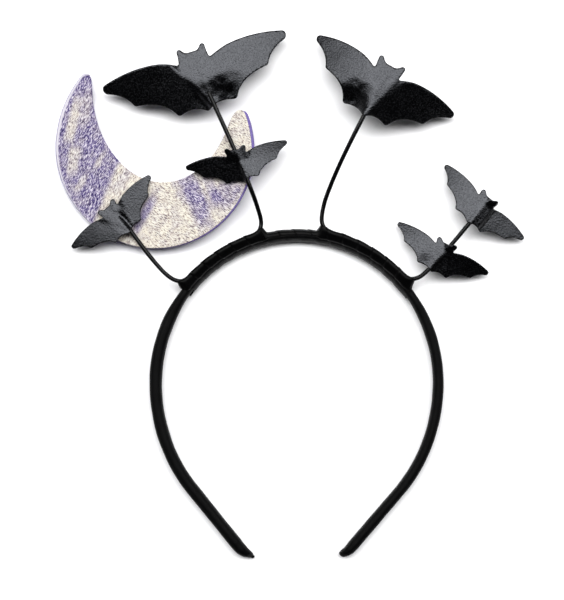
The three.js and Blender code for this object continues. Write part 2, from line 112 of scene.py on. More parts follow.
def dress(piece, slot, *nodes):
    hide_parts(*nodes)
    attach(piece, "root")


# Materials

tableGlow = 1.55  # how much brighter than white paper the table is lit


def seen(red, green, blue):  # a colour as it looks on the lit table, in steps of 255
    steps = (((c / 255 + 0.055) / 1.055) ** 2.4 if c > 10.3 else c / 3294.6 for c in (red, green, blue))
    return tuple(step / tableGlow for step in steps)


sockets = {
    "colour": "Base Color", "roughness": "Roughness",
    "shine": "Specular IOR Level", "tint": "Specular Tint",
}


def newMaterial(name, finish):
    material = bpy.data.materials.new(name)
    material.use_nodes = True
    shader = material.node_tree.nodes["Principled BSDF"]
    for key, socket in sockets.items():
        if key in finish:
            shader.inputs[socket].default_value = finish[key]
    return material


def addNode(owner, kind, inputs=None, **settings):  # the owner is a material, a lamp or a room
    node = owner.node_tree.nodes.new(kind)
    for key, value in settings.items():
        setattr(node, key, value)
    for key, value in (inputs or {}).items():
        if isinstance(value, bpy.types.NodeSocket):
            owner.node_tree.links.new(value, node.inputs[key])
        else:
            node.inputs[key].default_value = value
    return node


def toShader(material, socket, output):
    shader = material.node_tree.nodes["Principled BSDF"]
    material.node_tree.links.new(output, shader.inputs[socket])


def addRamp(owner, fac, stops):
    ramp = addNode(owner, "ShaderNodeValToRGB", {"Fac": fac})
    elements = ramp.color_ramp.elements
    while len(elements) < len(stops):
        elements.new(0.5)
    for element, (place, colour) in zip(elements, stops):
        element.position = place
        element.color = (*colour, 1)
    return ramp.outputs["Color"]


def objectPlace(material):
    return addNode(material, "ShaderNodeTexCoord").outputs["Object"]


def streakPlace(material, lean, long, wide):  # one unit of noise is this long and wide, in mm
    return addNode(material, "ShaderNodeMapping", {
        "Vector": objectPlace(material), "Rotation": (0, 0, math.radians(lean)),
        "Scale": (long / perMetre, wide / perMetre, long / perMetre),
    }, vector_type="TEXTURE").outputs["Vector"]


def noiseNode(material, place, scale, detail=2.0):
    return addNode(material, "ShaderNodeTexNoise", {
        "Vector": place, "Scale": scale, "Detail": detail,
    }).outputs["Fac"]


def addBump(material, height, distance, strength=1.0, normal=None):
    inputs = {"Height": height, "Distance": distance, "Strength": strength}
    if normal:
        inputs["Normal"] = normal
    return addNode(material, "ShaderNodeBump", inputs).outputs["Normal"]


waveLength = 0.314  # how long one wave of the wave texture is at a scale of 1


def makeCloth(name, sizes):
    material = newMaterial(name, sizes)
    uv = addNode(material, "ShaderNodeUVMap", uv_map="cloth").outputs["UV"]
    threads = []
    for axis in ("X", "Y"):
        threads.append(addNode(material, "ShaderNodeTexWave", {
            "Vector": uv, "Scale": waveLength / sizes["thread"], "Distortion": 0.6,
            "Detail": 1.0, "Detail Scale": 2.0,
        }, bands_direction=axis).outputs["Fac"])
    weave = addNode(material, "ShaderNodeMath", {0: threads[0], 1: threads[1]}, operation="MULTIPLY")
    patches = noiseNode(material, objectPlace(material), sizes["patches"], 3.0)
    shades = addRamp(material, patches, [(0.3, sizes["dark"]), (0.7, sizes["light"])])
    toShader(material, "Base Color", shades)
    fine = addBump(material, weave.outputs[0], sizes["relief"] / perMetre, 0.7)
    toShader(material, "Normal", addBump(material, patches, sizes["rumple"] / perMetre, 0.35, fine))
    return material


satinCloth = {
    "roughness": 0.46, "shine": 0.05, "thread": 0.32, "relief": 0.05, "patches": 220.0, "rumple": 0.4,
    "dark": (0.0004, 0.0004, 0.0005), "light": (0.0014, 0.0014, 0.0016),
}
woundCloth = {
    "roughness": 0.36, "shine": 0.06, "thread": 0.26, "relief": 0.03, "patches": 220.0, "rumple": 0.4,
    "dark": (0.0004, 0.0004, 0.0005), "light": (0.0011, 0.0011, 0.0013),
}
lacquerFinish = {
    "colour": (0.001, 0.001, 0.0012, 1), "roughness": 0.17, "shine": 0.13,
    "dents": 1400.0, "relief": 0.12,
}


def makeLacquer(sizes):
    material = newMaterial("wire lacquer", sizes)
    dents = noiseNode(material, objectPlace(material), sizes["dents"])
    toShader(material, "Normal", addBump(material, dents, sizes["relief"] / perMetre, 0.35))
    return material


# The grain is small pits, rougher than the skin between them. It and the creases are millimetres.
leatherFinish = {
    "smooth": 0.15, "pitted": 0.31, "shine": 0.33, "tint": (0.93, 0.96, 1.04, 1), "patches": 160.0,
    "grain": 0.68, "grainDepth": 0.15, "crease": 2.8, "creaseDepth": 0.04,
    "dark": (0.0002, 0.0002, 0.0003), "light": (0.0008, 0.0008, 0.0010),
}


def makeLeather(sizes):
    material = newMaterial("leatherette", sizes)
    place = objectPlace(material)
    patches = noiseNode(material, place, sizes["patches"], 3.0)
    toShader(material, "Base Color", addRamp(material, patches, [
        (0.3, sizes["dark"]), (0.7, sizes["light"]),
    ]))
    grain = noiseNode(material, place, perMetre / sizes["grain"], 3.0)
    toShader(material, "Roughness", addRamp(material, grain, [
        (0.40, (sizes["pitted"],) * 3), (0.58, (sizes["smooth"],) * 3),
    ]))
    creases = noiseNode(material, place, perMetre / sizes["crease"])
    fine = addBump(material, grain, sizes["grainDepth"] / perMetre)
    toShader(material, "Normal", addBump(material, creases, sizes["creaseDepth"] / perMetre, 1.0, fine))
    return material


foilFinish = {
    "roughness": 0.38, "shine": 0.08, "streak": 0.27, "long": 1.25, "leftLean": 62, "rightLean": -32,
    "relief": 0.10, "spread": 0.35, "cloud": 330.0,
    # Both ramps run along the streak noise. Their near-white top stops are painted glints off the
    # crinkled foil; the rest is the foil's own streaked cream and violet.
    "cream": [  # place on the grain, then the colour seen
        (0.37, (94, 78, 92)), (0.44, (206, 192, 182)), (0.50, (248, 238, 219)), (0.60, (255, 253, 240)),
    ],
    "violet": [
        (0.38, (36, 26, 80)), (0.46, (86, 72, 132)), (0.54, (156, 144, 182)), (0.63, (244, 238, 250)),
    ],
    # the rim colour is a painted highlight: the light the foil's curled left edge catches
    "rim": (230, 226, 237),
}


def addMix(material, fac, a, b):
    return addNode(material, "ShaderNodeMix", {"Factor": fac, 6: a, 7: b}, data_type="RGBA").outputs[2]


def makeFoil(sizes):
    material = newMaterial("moon foil", sizes)
    weights = {}
    for label in ("violet", "leftness", "rim"):
        weights[label] = addNode(material, "ShaderNodeAttribute", attribute_name=label).outputs["Fac"]
    streaks = []
    for lean in (sizes["rightLean"], sizes["leftLean"]):
        place = streakPlace(material, lean, sizes["long"], sizes["streak"])
        streaks.append(noiseNode(material, place, 1.0, 4.0))
    grain = addNode(material, "ShaderNodeMix", {
        "Factor": weights["leftness"], 2: streaks[0], 3: streaks[1],
    }).outputs[0]
    cloud = noiseNode(material, objectPlace(material), sizes["cloud"], 3.0)
    pull = addNode(material, "ShaderNodeMath", {
        0: cloud, 1: sizes["spread"] * 2, 2: -sizes["spread"],
    }, operation="MULTIPLY_ADD").outputs[0]
    hue = addNode(material, "ShaderNodeMath", {0: weights["violet"], 1: pull}, operation="ADD")
    hue.use_clamp = True
    # the near-white ends of these ramps are painted glints off the crinkled foil
    shades = [
        addRamp(material, grain, [(place, seen(*colour)) for place, colour in sizes[name]])
        for name in ("cream", "violet")
    ]
    colour = addMix(material, hue.outputs[0], *shades)
    # the rim weight mixes in a painted highlight along the foil's curled left edge
    toShader(material, "Base Color", addMix(material, weights["rim"], colour, (*seen(*sizes["rim"]), 1)))
    toShader(material, "Normal", addBump(material, grain, sizes["relief"] / perMetre, 0.8))
    return material


foamFinish = {
    "roughness": 0.8, "shine": 0.25, "cells": 2600.0, "relief": 0.1,
    "dark": (108, 92, 160), "light": (142, 126, 196),
}


def makeFoam(sizes):
    material = newMaterial("violet foam", sizes)
    cells = noiseNode(material, objectPlace(material), sizes["cells"])
    toShader(material, "Base Color", addRamp(material, cells, [
        (0.35, seen(*sizes["dark"])), (0.65, seen(*sizes["light"])),
    ]))
    toShader(material, "Normal", addBump(material, cells, sizes["relief"] / perMetre, 0.4))
    return material


# Hoop: a crown and two lower ellipses that run on into straight limbs
hoopSizes = {
    "halfWidth": 63.2, "crown": 66.0, "lowerCurve": 70.5,
    "lean": 39.7, "straight": 39.0, "turn": -0.8, "step": 0.1,
}


def traceHoop(sizes):
    sweep = math.atan(math.tan(math.radians(sizes["lean"])) * sizes["lowerCurve"] / sizes["halfWidth"])
    quarter = np.linspace(0, math.pi / 2, 1200)
    lower = np.linspace(0, sweep, 1200)[1:]
    crown = np.stack([np.sin(quarter) * sizes["halfWidth"], np.cos(quarter) * sizes["crown"]], 1)
    side = np.stack([np.cos(lower) * sizes["halfWidth"], -np.sin(lower) * sizes["lowerCurve"]], 1)
    lean = np.array([math.sin(math.radians(sizes["lean"])), math.cos(math.radians(sizes["lean"]))])
    tip = side[-1] - lean * sizes["straight"]
    right = np.concatenate([crown, side, [tip]])
    left = right[:0:-1] * [-1, 1]
    line = np.concatenate([left, right])
    turn = math.radians(sizes["turn"])
    line = line @ np.array([[math.cos(turn), math.sin(turn)], [-math.sin(turn), math.cos(turn)]])
    gone = lengthsAlong(line)
    return line, gone - gone[-1] / 2


hoopPoints, hoopLengths = traceHoop(hoopSizes)
hoopHalfLength = hoopLengths[-1]


def hoopAt(s):  # point, direction along and direction outwards at a length from the crown
    s = np.asarray(s, float)
    near = hoopSizes["step"]
    ahead = pointsAt(np.minimum(s + near, hoopHalfLength), hoopLengths, hoopPoints)
    behind = pointsAt(np.maximum(s - near, -hoopHalfLength), hoopLengths, hoopPoints)
    along = ahead - behind
    along /= np.linalg.norm(along, axis=-1, keepdims=True)
    flat = np.zeros(s.shape + (1,))
    out = np.concatenate([-along[..., 1:2], along[..., 0:1], flat], -1)
    point = pointsAt(s, hoopLengths, hoopPoints)
    return np.concatenate([point, flat], -1), np.concatenate([along, flat], -1), out


# Padded band in black cloth
bandSizes = {
    "thick": 4.8, "high": 7.0, "squeeze": 0.6, "leftFullness": 0.7, "run": 14.0,
    "wrapHalf": 58.8, "lift": 0.75, "squareness": 2.5, "around": 40, "step": 0.8,
    "tipRun": 8.0, "tipBend": 2.2, "swell": 0.06, "swellRun": 9.0,
    "pleat": 0.025, "pleats": 9, "pleatAt": 3.5, "pleatRun": 4.0, "pleatSway": 1.7, "girth": 0.9,
}
# Each tip: how far it leans inwards and reaches past the hoop's line, then rows of distance
# from its end, thickness and height as shares. The left one ends in a small nub.
bandTips = {
    "left": {"lean": 1.9, "reach": 2.7, "taper": [
        (0.0, 0.15, 0.30), (0.2, 0.26, 0.38), (0.9, 0.27, 0.38), (1.2, 0.42, 0.50),
        (2.4, 0.70, 0.78), (4.6, 0.92, 0.95), (8.0, 1.0, 1.0),
    ]},
    "right": {"lean": 1.1, "reach": 0.0, "taper": [
        (0.0, 0.26, 0.40), (0.25, 0.50, 0.55), (0.9, 0.66, 0.70),
        (2.5, 0.84, 0.88), (5.0, 0.95, 0.97), (8.0, 1.0, 1.0),
    ]},
}


def pastWrap(s):
    return smoothStep(np.abs(s) - bandSizes["wrapHalf"], 0, bandSizes["run"])


def tipValues(s, read):  # a value for every s from the tip that it is nearer to
    return np.where(s < 0, read(bandTips["left"]), read(bandTips["right"]))


def makeBand(material):
    sizes = bandSizes
    nearTip = hoopHalfLength - np.linspace(0, 1, 26) ** 1.5 * sizes["tipRun"]  # closer at the end
    middle = np.arange(-nearTip[-1], nearTip[-1], sizes["step"])
    s = np.unique(np.concatenate([-nearTip, middle, nearTip]))
    fromTip = hoopHalfLength - np.abs(s)

    def taper(column):
        return tipValues(s, lambda tip: np.interp(fromTip, *np.array(tip["taper"])[:, [0, column]].T))

    past = pastWrap(s)
    atTip = 1 - smoothStep(fromTip, 0, sizes["tipRun"] - 1)
    fullness = np.where(s < 0, sizes["leftFullness"], 0) * past - sizes["squeeze"] * (1 - past)
    thick = (sizes["thick"] + fullness) * taper(1)
    high = sizes["high"] * taper(2)
    lift = sizes["lift"] * (1 - past)
    lean = -tipValues(s, lambda tip: tip["lean"]) * atTip ** sizes["tipBend"]
    reach = tipValues(s, lambda tip: tip["reach"]) * atTip * np.sign(s)
    angle = np.linspace(0, 2 * math.pi, sizes["around"], endpoint=False) - math.pi / 2
    power = 2 / sizes["squareness"]
    ox = np.sign(np.cos(angle)) * np.abs(np.cos(angle)) ** power / 2
    oz = (1 + np.sign(np.sin(angle)) * np.abs(np.sin(angle)) ** power) / 2
    point, along, out = hoopAt(s)
    # loose cloth: slow swellings along the limbs and short pleats near the tips
    swell = np.array([noise.noise(Vector((v / sizes["swellRun"], 0.3, 0.7))) for v in s]) * sizes["swell"]
    sway = np.sin(s * sizes["pleatSway"])[:, None]
    pleats = bell(fromTip - sizes["pleatAt"], sizes["pleatRun"])[:, None]
    pleats = pleats * np.sin(angle * sizes["pleats"] + sway)
    grow = 1 + swell[:, None] + pleats * sizes["pleat"]
    across = ox[None, :] * thick[:, None] * grow + lean[:, None]
    above = lift[:, None] + oz[None, :] * high[:, None]
    points = (point + along * reach[:, None])[:, None, :] + out[:, None, :] * across[..., None]
    points = points + np.array([0, 0, 1.0]) * above[..., None]
    rings = len(s)
    points = points.reshape(-1, 3)
    faces = gridFaces(rings, sizes["around"], closed=True)
    caps = np.array([points[:sizes["around"]].mean(0), points[-sizes["around"]:].mean(0)])
    first, last = len(points), len(points) + 1
    for j in range(sizes["around"]):
        m = (j + 1) % sizes["around"]
        faces.append((first, j, m))
        faces.append((last, (rings - 1) * sizes["around"] + m, (rings - 1) * sizes["around"] + j))
    points = np.concatenate([points, caps])
    piece = makePiece("band", points, faces, material)
    girth = (sizes["thick"] + sizes["high"]) * 2 * sizes["girth"]
    u = np.repeat(s, sizes["around"])
    v = np.tile(np.abs(np.linspace(-1, 1, sizes["around"])) * girth / 2, rings)
    addUv(piece, np.concatenate([np.stack([u, v], 1), [[s[0], 0], [s[-1], 0]]]))
    return piece


# Wires
wireSizes = {
    "radius": 0.975, "tuck": 42, "out": 7.9, "bowLean": 0.6, "gap": 0.3, "turnPitch": 7.0,
    "cornerOut": 0.355, "cornerUp": 0.94, "step": 0.6, "sides": 20,
}
footBend = [(0.72, 0.0), (0.38, 0.12), (0.12, 0.5), (0.0, 1.0)]  # back and out, as shares
uprightShares = [0.1, 0.22, 0.36, 0.5, 0.64, 0.8, 1.0]
uprights = {
    "leftOuter": {"foot": -57.6, "aim": 129.2, "reach": 42.3, "sway": 1.5, "rise": 0.0, "riseBy": 1.0},
    "leftInner": {"foot": -15.2, "aim": 112.4, "reach": 68.0, "sway": -1.35, "rise": 4.5, "riseBy": 0.28},
    "rightInner": {"foot": 8.8, "aim": 66.3, "reach": 68.4, "sway": 2.5, "rise": 8.0, "riseBy": 0.7},
    "rightOuter": {"foot": 54.7, "aim": 48.3, "reach": 43.9, "sway": -1.0, "rise": 1.8, "riseBy": 1.0},
}
wireSeat = wireSizes["radius"] + wireSizes["gap"]
wireOut = wireSizes["cornerOut"] * (bandSizes["thick"] - bandSizes["squeeze"])
wireOut += wireSeat * math.cos(math.radians(wireSizes["tuck"]))
wireHeight = bandSizes["lift"] + wireSizes["cornerUp"] * bandSizes["high"]
wireHeight += wireSeat * math.sin(math.radians(wireSizes["tuck"]))


def uprightPoints(name, inward):
    upright = uprights[name]
    points = []
    for back, share in footBend:
        point, _, out = hoopAt(upright["foot"] + inward * back * wireSizes["out"])
        points.append(point + out * mix(wireOut, wireSizes["out"], share) + [0, 0, wireHeight])
    foot = points[-1]
    aim = math.radians(upright["aim"])
    ahead = np.array([math.cos(aim), math.sin(aim), 0])
    left = np.array([-ahead[1], ahead[0], 0])
    for share in uprightShares:
        bow = upright["sway"] * math.sin(math.pi * share ** wireSizes["bowLean"])
        rise = upright["rise"] * float(smoothStep(share, 0, upright["riseBy"]))
        points.append(foot + ahead * upright["reach"] * share + left * bow + [0, 0, rise])
    return points


def smoothLine(points, step):  # a curve through the points that doesn't overshoot
    points = [np.asarray(p, float) for p in points]
    points = [2 * points[0] - points[1], *points, 2 * points[-1] - points[-2]]
    line = []
    for a, b, c, d in zip(points, points[1:], points[2:], points[3:]):
        ta, tb, tc = (max(np.linalg.norm(q - p), 1e-6) ** 0.5 for p, q in ((a, b), (b, c), (c, d)))
        slopeB = ((b - a) / ta - (c - a) / (ta + tb) + (c - b) / tb) * tb
        slopeC = ((c - b) / tb - (d - b) / (tb + tc) + (d - c) / tc) * tb
        count = max(2, math.ceil(np.linalg.norm(c - b) / step))
        for t in np.linspace(0, 1, count, endpoint=False):
            line.append(
                b + slopeB * t + (3 * (c - b) - 2 * slopeB - slopeC) * t ** 2
                + (2 * (b - c) + slopeB + slopeC) * t ** 3
            )
    return np.array([*line, points[-2]])


def wireLine(leftName, rightName):
    lead = footBend[0][0] * wireSizes["out"]
    start = uprights[leftName]["foot"] + lead
    stop = uprights[rightName]["foot"] - lead
    count = max(2, round((stop - start) / wireSizes["turnPitch"]))
    bed = []
    for i in range(1, count):
        point, _, out = hoopAt(mix(start, stop, i / count))
        bed.append(point + out * wireOut + [0, 0, wireHeight])
    points = uprightPoints(leftName, 1)[::-1] + bed + uprightPoints(rightName, -1)
    return smoothLine(points, wireSizes["step"])


wireLines = {
    "wire_left": wireLine("leftOuter", "leftInner"),
    "wire_right": wireLine("rightInner", "rightOuter"),
}


def makeTubeTree():  # a round rod along a line
    tree = bpy.data.node_groups.new("rod along a line", "GeometryNodeTree")
    face = tree.interface
    given = {"Geometry": "Geometry", "Radius": "Float", "Sides": "Int", "Coat": "Material"}
    for name, kind in given.items():
        face.new_socket(name, in_out="INPUT", socket_type="NodeSocket" + kind)
    face.new_socket("Geometry", in_out="OUTPUT", socket_type="NodeSocketGeometry")
    add, link = tree.nodes.new, tree.links.new
    start, made = add("NodeGroupInput"), add("NodeGroupOutput")
    ring = add("GeometryNodeCurvePrimitiveCircle")
    sweep = add("GeometryNodeCurveToMesh")
    sweep.inputs["Fill Caps"].default_value = True
    shade = add("GeometryNodeSetShadeSmooth")
    real = add("GeometryNodeRealizeInstances")
    coat = add("GeometryNodeSetMaterial")
    for source, output, target, entry in (
        (start, "Radius", ring, "Radius"), (start, "Sides", ring, "Resolution"),
        (start, "Geometry", sweep, "Curve"), (ring, "Curve", sweep, "Profile Curve"),
        (sweep, "Mesh", shade, "Geometry"), (shade, "Geometry", real, "Geometry"),
        (real, "Geometry", coat, "Geometry"), (start, "Coat", coat, "Material"),
        (coat, "Geometry", made, "Geometry"),
    ):
        link(source.outputs[output], target.inputs[entry])
    return tree


def setInputs(modifier, values):
    for item in modifier.node_group.interface.items_tree:
        if item.item_type == "SOCKET" and item.in_out == "INPUT" and item.name in values:
            modifier[item.identifier] = values[item.name]


def makeRod(name, line, material, tree):
    curve = bpy.data.curves.new(name + " line", "CURVE")
    curve.dimensions = "3D"
    spline = curve.splines.new("POLY")
    spline.points.add(len(line) - 1)
    places = np.ones((len(line), 4))
    places[:, :3] = (line + hoopPlace) / perMetre
    spline.points.foreach_set("co", places.ravel())
    rod = addObject(name + " line", curve)
    modifier = rod.modifiers.new("rod", "NODES")
    modifier.node_group = tree
    radius = wireSizes["radius"] / perMetre
    setInputs(modifier, {"Radius": radius, "Sides": wireSizes["sides"], "Coat": material})
    graph = bpy.context.evaluated_depsgraph_get()
    mesh = bpy.data.meshes.new_from_object(rod.evaluated_get(graph))
    bpy.data.objects.remove(rod)
    return addObject(name, mesh)


# Ribbon wound round the band and the wires
ribbonSizes = {
    "width": 10.0, "pitch": 7.0, "halfRun": 58.8, "wall": 0.22, "shingle": 0.32,
    "around": 84, "across": 9, "start": 0.40, "tentStop": 0.10, "tentBlend": 1.6,
    "extraTurn": 0.9, "lead": 0.45, "turnLength": 26, "tentOut": 0.62, "footNear": 2,
    "wrinkle": 0.05, "wrinkleAcross": 9, "wrinkleAlong": 5.1,
}
# The section, from the crest over the inner side, under the band and up its outer side.
plainSection = [
    (0.50, 8.35), (0.02, 7.95), (-0.42, 7.45), (-1.25, 6.95), (-2.15, 5.70), (-2.72, 3.70),
    (-2.45, 1.30), (-1.40, 0.22), (0.0, 0.10), (1.40, 0.22), (2.45, 1.30), (2.80, 3.70),
    (2.62, 6.00), (1.75, 7.85),
]
wiredSection = [
    (-0.15, 8.60), (-0.55, 8.15), (-0.90, 7.45), (-1.55, 6.85), (-2.35, 5.50), (-2.78, 3.60),
    (-2.45, 1.30), (-1.40, 0.22), (0.0, 0.10), (1.40, 0.22), (2.75, 1.90),
]
wireShoulder = [(1.28, -1.05), (1.22, 1.02), (-0.25, 1.62)]  # from the wire's middle


def traceSections(s):
    sizes = ribbonSizes
    out = np.full(s.shape, wireOut)
    has = np.zeros(s.shape)
    reach = wireSizes["out"]
    for leftName, rightName in (("leftOuter", "leftInner"), ("rightInner", "rightOuter")):
        start, stop = uprights[leftName]["foot"], uprights[rightName]["foot"]
        first = start + sizes["tentStop"] * reach
        last = stop - sizes["tentStop"] * reach
        inside = smoothStep(s, first - sizes["tentBlend"], first)
        has = np.maximum(has, inside * (1 - smoothStep(s, last, last + sizes["tentBlend"])))
        for foot, way in ((start, 1), (stop, -1)):
            back = np.clip((s - foot) * way / reach, 0, 1)
            rows = np.array(footBend[::-1])
            share = np.interp(back, rows[:, 0], rows[:, 1])
            near = (np.abs(s - foot) < reach) & ((s - foot) * way > -sizes["footNear"])
            out = np.where(near, np.maximum(out, mix(wireOut, reach, share * sizes["tentOut"])), out)
    plain = np.array(plainSection)[None]
    shoulder = np.array(wireShoulder)[None] + np.stack([out, np.full(s.shape, wireHeight)], -1)[:, None]
    under = np.broadcast_to(np.array(wiredSection)[None], (len(s), len(wiredSection), 2))
    wired = np.concatenate([under, shoulder], 1)
    return plain + (wired - plain) * has[:, None, None]


def loopBasis(q, count):  # weights of a smooth closed curve through the control points
    place = (q % 1.0) * count
    index = np.floor(place).astype(int)
    t = place - index
    weights = np.stack([
        -0.5 * t + t ** 2 - 0.5 * t ** 3, 1 - 2.5 * t ** 2 + 1.5 * t ** 3,
        0.5 * t + 2 * t ** 2 - 1.5 * t ** 3, -0.5 * t ** 2 + 0.5 * t ** 3,
    ], -1)
    slopes = np.stack([
        -0.5 + 2 * t - 1.5 * t ** 2, -5 * t + 4.5 * t ** 2,
        0.5 + 4 * t - 4.5 * t ** 2, -t + 1.5 * t ** 2,
    ], -1)
    return [(index + k - 1) % count for k in range(4)], weights, slopes


def makeRibbon(material):
    sizes = ribbonSizes
    turns = (2 * sizes["halfRun"] - sizes["width"]) / sizes["pitch"] + sizes["extraTurn"]
    steps = int(turns * sizes["around"])
    turn = np.linspace(0, turns, steps)
    u = np.linspace(-0.5, 0.5, sizes["across"])
    start = -sizes["halfRun"] + sizes["width"] / 2 - sizes["lead"] * sizes["pitch"]
    s = start + turn[:, None] * sizes["pitch"] + u[None, :] * sizes["width"]
    s = np.clip(s, -sizes["halfRun"], sizes["halfRun"])
    q = sizes["start"] + turn
    flat = s.ravel()
    controls = traceSections(flat)
    which, weights, slopes = loopBasis(np.repeat(q, sizes["across"]), controls.shape[1])
    rows = np.arange(len(flat))
    section = sum(controls[rows, which[k]] * weights[:, k:k + 1] for k in range(4))
    slope = sum(controls[rows, which[k]] * slopes[:, k:k + 1] for k in range(4))
    normal = np.stack([slope[:, 1], -slope[:, 0]], -1)
    normal /= np.linalg.norm(normal, axis=1, keepdims=True) + 1e-9
    acrossTurn, alongTurn = np.tile(u, steps), np.repeat(turn, sizes["across"])
    shingle = sizes["shingle"] * (acrossTurn + 0.5)
    # small wrinkles in each turn
    phase = acrossTurn * sizes["wrinkleAcross"] + alongTurn * sizes["wrinkleAlong"]
    section = section - normal * (shingle + sizes["wrinkle"] * np.sin(phase))[:, None]
    point, _, out = hoopAt(flat)
    height = np.maximum(section[:, 1:2], sizes["wall"])
    points = point + out * section[:, 0:1] + np.array([[0, 0, 1.0]]) * height
    piece = makePiece("ribbon", points, gridFaces(steps, sizes["across"]), material)
    addUv(piece, np.stack([alongTurn * sizes["turnLength"], acrossTurn * sizes["width"]], 1))
    solid = piece.modifiers.new("wall", "SOLIDIFY")
    solid.thickness = sizes["wall"] / perMetre
    solid.offset = 1.0
    solid.use_even_offset = False
    return settle(piece)


bandPiece = makeBand(makeCloth("satin cloth", satinCloth))
dress(bandPiece, "band_cloth", "headband")
print("band made")

tubeTree = makeTubeTree()
lacquer = makeLacquer(lacquerFinish)
for wireName, line in wireLines.items():
    wirePiece = makeRod(wireName + "_rod", line, lacquer, tubeTree)
    dress(wirePiece, "wire_coat", wireName)
print("wires made")

ribbonPiece = makeRibbon(makeCloth("wound cloth", woundCloth))
dress(ribbonPiece, "wound_ribbon", "wrap_ribbon")
print("ribbon made")

# Bats of leatherette, folded over their wires
# over is the leather's height above the wire's middle and under how far it reaches below it.
batSizes = {
    "mesh": {"large": 0.7, "small": 0.5}, "edgeStep": 0.5, "points": 60, "soften": 0.22,
    "leather": 0.9, "over": 1.95, "bumpWidth": 1.3, "under": 1.4, "crisp": 0.5, "nodHinge": 0.6,
    "foldOff": 0.3, "foldBow": 1.1, "foldFade": (0.25, 0.15), "headSide": (0.9, 2.6), "middle": 0.04,
    "waves": 0.10, "waveSize": 6.0, "wander": 0.9, "wanderAside": 4.5, "wanderAlong": 3.5,
    "wireBehind": 3, "wireEnd": (0.5, 3.0), "liftBow": 1.5,
}
batOutline = [  # half of it, as shares: the point that pulls each edge, its end, how round that is
    (0.145, 0.17, 0.315, 0.02, 0.042), (0.385, 0.40, 0.725, 0.48, 0.044),
    (0.80, 0.85, 1.135, 0.95, 0.050), (0.72, 1.22, 0.36, 1.09, 0.0),
    (0.25, 1.03, 0.165, 0.95, 0.018),
]
# Ears are placed in millimetres for each size of bat. Their rows go across in half widths from
# the ear's middle and up in shares of tipUp: the point that pulls each edge, then its end.
batEars = {
    "large": {"aside": 5.3, "half": 1.15}, "small": {"aside": 3.8, "half": 1.05}, "round": 0.95,
    "edges": [(0.9, 1.10, 1.0, 1.225), (0.0, 1.285, -1.0, 1.225)],
}
headTop = {"across": 0.050, "up": 1.15, "round": 0.018, "pull": 0.8}
batTail = {"along": -0.04, "round": 0.040}
neck = (0.165, 0.95)
# at is a share of the upright, and aside is how far the wire runs from the bat's middle, in mm.
# A pair is left, then right. drop is how far the wing tips hang in mm, curl the share of
# that which comes late, and tipLift moves the tips ahead. bump is the ridge over the wire.
# nod lowers the body towards the ears, and a pitch raises a wing towards them, both in degrees.
# The wing turns about its hinge, a share of the neck's height. The turn starts turnAt from the
# fold and is whole turnRun further. The folds run to the corners of a flatHead, or else to the
# wire. From riseFrom on, a share of the neck's height too, the head's sides rise by earRise a mm.
# Folds are rows of across at the hem, across at the neck, half width, depth and the share of
# the neck's height where they fade. Curls are rows of across, ahead, half width, half length
# and drop, where the hem bends down.
plainBat = {  # what a bat has where its own row says nothing else
    "through": False, "tipLift": (0, 0), "curl": (0.4, 0.4), "hinge": (0.6, 0.6), "turnAt": (0.2, 0.2),
    "flatHead": True, "riseFrom": 0.95, "earRise": (0.0, 0.0), "bump": 0.2, "folds": [], "curls": [],
}
ownBats = {
    "bat_large_left": {
        "upright": "leftInner", "at": 0.8, "aside": 3.1, "heading": 106.7,
        "halfSpan": 42.8, "tipUp": 22.7, "drop": (8.6, 7.6), "size": "large",
        "tipLift": (0, 1.4), "curl": (0.4, 0.7),
        "hinge": (0.75, 0.6), "turnRun": 3.2,
        "nod": 5.0, "pitch": (7.5, -4.0),
        "curls": [(7.8, 7.6, 8.8, 6.8, 3.7)],
    },
    "bat_large_right": {
        "upright": "rightInner", "at": 0.71, "aside": 0.2, "heading": 60.9,
        "halfSpan": 34.6, "tipUp": 21.3, "drop": (12.2, 13.0), "size": "large",
        "tipLift": (1.1, 0), "curl": (0.4, -0.2),
        "turnRun": 3.2, "nod": 5.0, "pitch": (-3.5, -1.0),
        "curls": [(-7.6, 7.3, 6.5, 6.5, 4.8)],
    },
    "bat_small_left_inner": {
        "upright": "leftInner", "through": True, "at": 0.28, "aside": 1.9, "heading": 104.2,
        "halfSpan": 23.4, "tipUp": 12.2, "drop": (1.8, 5.0), "size": "small",
        "tipLift": (0, 0.7), "hinge": (0.9, 0.6), "flatHead": False,
        "turnRun": 1.4, "riseFrom": 0.78, "earRise": (0.3, 0.3),
        "nod": 1.0, "pitch": (11.0, -4.0),
    },
    "bat_small_left_outer": {
        "upright": "leftOuter", "at": 0.66, "aside": 0.9, "heading": 132.1,
        "halfSpan": 23.8, "tipUp": 13.0, "drop": (3.5, 1.0), "size": "small",
        "turnRun": 3.0, "nod": 9.0, "pitch": (-13.0, 1.5),
        "folds": [(2.3, 2.1, 1.2, 1.1, 0.8)],
    },
    "bat_small_right_upper": {
        "upright": "rightOuter", "at": 0.73, "aside": 1.3, "heading": 46.6,
        "halfSpan": 24.4, "tipUp": 12.3, "drop": (6.4, 3.2), "size": "small",
        "curl": (0.4, 0.0), "hinge": (0.6, -0.3), "turnAt": (0.2, 3.4), "flatHead": False,
        "turnRun": 1.6, "earRise": (0.0, 0.35),
        "nod": 3.0, "pitch": (-1.0, -10.5),
    },
    "bat_small_right_lower": {
        "upright": "rightOuter", "through": True, "at": 0.12, "aside": -1.3, "heading": 60.6,
        "halfSpan": 23.4, "tipUp": 12.0, "drop": (5.2, 5.6), "size": "small",
        "hinge": (0.6, 0.9), "flatHead": False, "turnRun": 1.4, "earRise": (0.0, 0.4),
        "nod": 2.0, "pitch": (-1.0, 1.0),
        "curls": [(-5.0, 4.0, 2.6, 2.4, 0.5)],
    },
}
bats = {name: {**plainBat, **own} for name, own in ownBats.items()}


